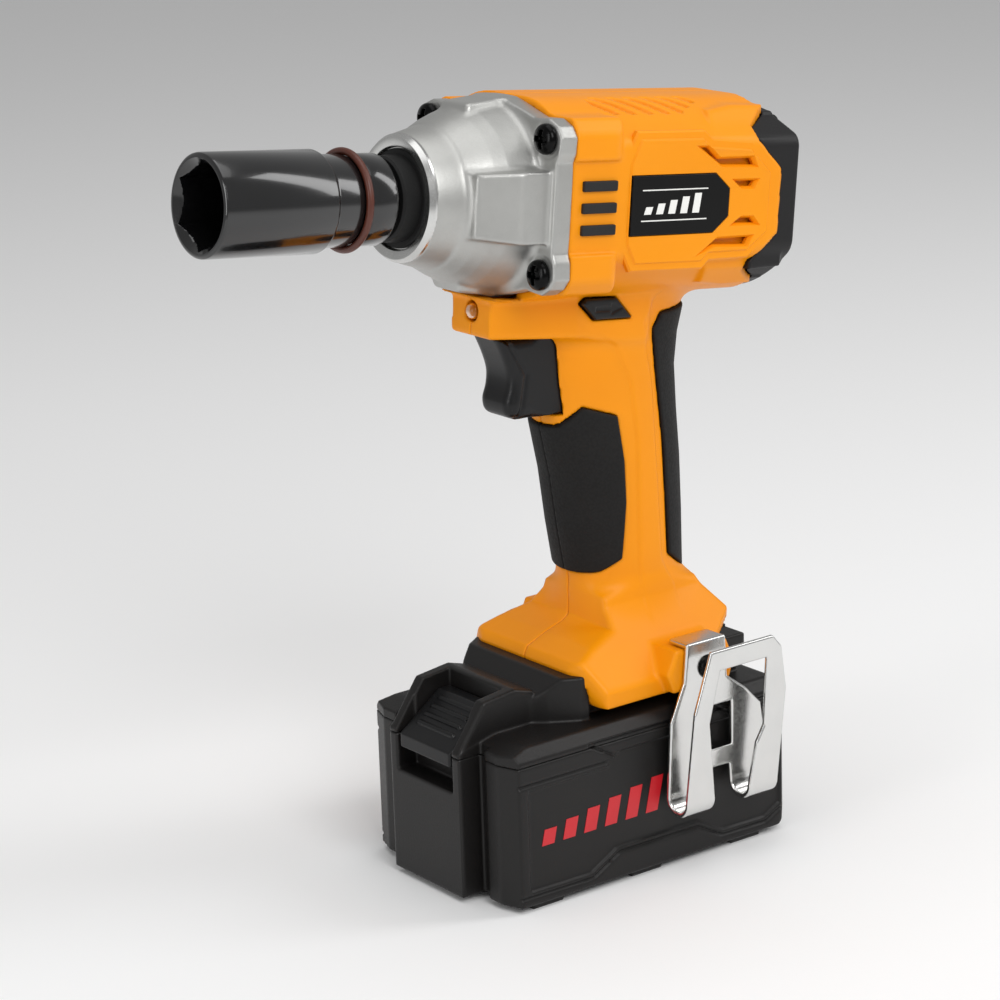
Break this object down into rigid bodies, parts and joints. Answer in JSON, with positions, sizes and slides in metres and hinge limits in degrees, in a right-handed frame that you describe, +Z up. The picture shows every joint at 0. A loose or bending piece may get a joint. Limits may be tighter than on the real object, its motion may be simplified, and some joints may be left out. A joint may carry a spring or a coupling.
{
  "type": "cordless impact wrench",
  "caption": "Pistol-grip cordless impact wrench with a cast nose, a deep hexagon socket on a square drive, a belt hook and a slide-on battery.",
  "frame": {"origin": "centre of the battery's footprint, on the surface that the tool stands on", "axes": "+X towards the nose, +Y to the tool's left side, where the belt hook is, +Z up; the barrel axis is pitched 6 degrees nose-up about Y"},
  "size_m": [0.2024, 0.086, 0.2382],
  "materials": {
    "housing_orange": "fine matt moulding",
    "black_plastic": "fine matt moulding",
    "grip_rubber": "soft matt overmould",
    "trim_rubber": "matt",
    "badge_black": "glossy plate",
    "cast_aluminium": "bead blasted casting",
    "bronze": "sintered",
    "seal_rubber": "matt",
    "anvil_steel": "hardened, phosphated",
    "hardened_steel": "ground",
    "spring_steel": "drawn wire",
    "bearing_steel": "polished",
    "gear_case_plastic": "glass filled nylon",
    "electrical_steel": "laminated",
    "copper": "enamelled wire",
    "fan_plastic": "nylon",
    "circuit_green": "solder mask",
    "socket_black": "glossy black oxide on steel",
    "ring_brown": "satin",
    "screw_black": "glossy black oxide",
    "trigger_black": "satin moulding",
    "lens_clear": "clear",
    "lead_red": "silicone",
    "contact_metal": "plated copper alloy",
    "hook_steel": "bright nickel plate",
    "battery_black": "satin moulding",
    "cell_wrap": "shrink film",
    "nickel": "sheet nickel"
  },
  "bodies": {
    "tool": {"housing_left": "housing_orange", "housing_right": "housing_orange", "rear_cap": "black_plastic", "front_grip_left": "grip_rubber", "front_grip_right": "grip_rubber", "rear_grip_left": "grip_rubber", "rear_grip_right": "grip_rubber", "side_ribs_left": "trim_rubber", "side_ribs_right": "trim_rubber", "badge_left": "badge_black", "badge_right": "badge_black", "hammer_case": "cast_aluminium", "nose_bush": "bronze", "nose_seal": "seal_rubber", "anvil_washer": "hardened_steel", "ring_gear": "hardened_steel", "gear_case": "gear_case_plastic", "spindle_bearing": "bearing_steel", "stator_core": "electrical_steel", "stator_windings": "copper", "motor_bearings": "bearing_steel", "sensor_board": "circuit_green", "case_screws": "screw_black", "housing_screws": "screw_black", "rear_cap_screws": "screw_black", "trigger_switch": "black_plastic", "trigger_spring": "spring_steel", "led_lens": "lens_clear", "control_board": "circuit_green", "motor_leads": "lead_red", "terminal_block": "black_plastic", "contact_blades": "contact_metal", "hook_inserts": "bronze", "belt_hook": "hook_steel", "belt_hook_screw": "screw_black"},
    "anvil": {"anvil": "anvil_steel", "socket": "socket_black", "socket_ring": "ring_brown", "socket_pin": "hardened_steel"},
    "spindle": {"spindle": "hardened_steel", "cam_balls": "bearing_steel", "planet_pins": "bearing_steel", "hammer_spring": "spring_steel"},
    "hammer": {"hammer": "anvil_steel"},
    "planet_1": {"planet_gear_1": "hardened_steel"},
    "planet_2": {"planet_gear_2": "hardened_steel"},
    "planet_3": {"planet_gear_3": "hardened_steel"},
    "rotor": {"rotor_core": "electrical_steel", "motor_shaft": "bearing_steel", "cooling_fan": "fan_plastic"},
    "trigger": {"trigger": "trigger_black"},
    "selector": {"direction_selector": "trigger_black"},
    "battery": {"battery_bottom_case": "battery_black", "battery_top_case": "battery_black", "battery_cells": "cell_wrap", "cell_holders": "fan_plastic", "cell_strips": "nickel", "battery_contacts": "contact_metal", "latch_spring": "spring_steel"},
    "latch": {"battery_latch": "trigger_black"}
  },
  "joints": [
    {"name": "anvil_spin", "type": "hinge", "parent": "tool", "child": "anvil", "pos_m": [-0.0087, 0, 0.2056], "axis": [0.9945, 0, 0.1045], "continuous": true},
    {"name": "spindle_spin", "type": "hinge", "parent": "tool", "child": "spindle", "pos_m": [-0.0087, 0, 0.2056], "axis": [0.9945, 0, 0.1045], "continuous": true},
    {"name": "hammer_retract", "type": "slide", "parent": "spindle", "child": "hammer", "axis": [0.9945, 0, 0.1045], "range_m": [-0.006, 0], "stiffness_N_per_m": 3000, "springref_m": 0.003, "deforming": ["hammer_spring"]},
    {"name": "planet_1_spin", "type": "hinge", "parent": "spindle", "child": "planet_1", "pos_m": [-0.01095, 0, 0.21743], "axis": [0.9945, 0, 0.1045], "continuous": true},
    {"name": "planet_2_spin", "type": "hinge", "parent": "spindle", "child": "planet_2", "pos_m": [-0.00907, -0.01039, 0.19953], "axis": [0.9945, 0, 0.1045], "continuous": true},
    {"name": "planet_3_spin", "type": "hinge", "parent": "spindle", "child": "planet_3", "pos_m": [-0.00907, 0.01039, 0.19953], "axis": [0.9945, 0, 0.1045], "continuous": true},
    {"name": "rotor_spin", "type": "hinge", "parent": "tool", "child": "rotor", "pos_m": [-0.0087, 0, 0.2056], "axis": [0.9945, 0, 0.1045], "continuous": true},
    {"name": "trigger_pull", "type": "slide", "parent": "tool", "child": "trigger", "axis": [-0.9945, 0, -0.1045], "range_m": [0, 0.006], "stiffness_N_per_m": 400, "springref_m": -0.003, "deforming": ["trigger_spring"]},
    {"name": "selector_shift", "type": "slide", "parent": "tool", "child": "selector", "axis": [0, 1, 0], "range_m": [-0.002, 0.002]},
    {"name": "battery_slide", "type": "slide", "parent": "tool", "child": "battery", "axis": [1, 0, 0], "range_m": [0, 0.08]},
    {"name": "latch_press", "type": "slide", "parent": "battery", "child": "latch", "axis": [0, 0, -1], "range_m": [0, 0.0025], "stiffness_N_per_m": 400, "springref_m": -0.003, "deforming": ["latch_spring"]}
  ],
  "couplings": [
    {"joint": "spindle_spin", "follows": "anvil_spin", "ratio": 1},
    {"joint": "rotor_spin", "follows": "anvil_spin", "ratio": 5},
    {"joint": "planet_1_spin", "follows": "anvil_spin", "ratio": -2.6667},
    {"joint": "planet_2_spin", "follows": "anvil_spin", "ratio": -2.6667},
    {"joint": "planet_3_spin", "follows": "anvil_spin", "ratio": -2.6667}
  ]
}
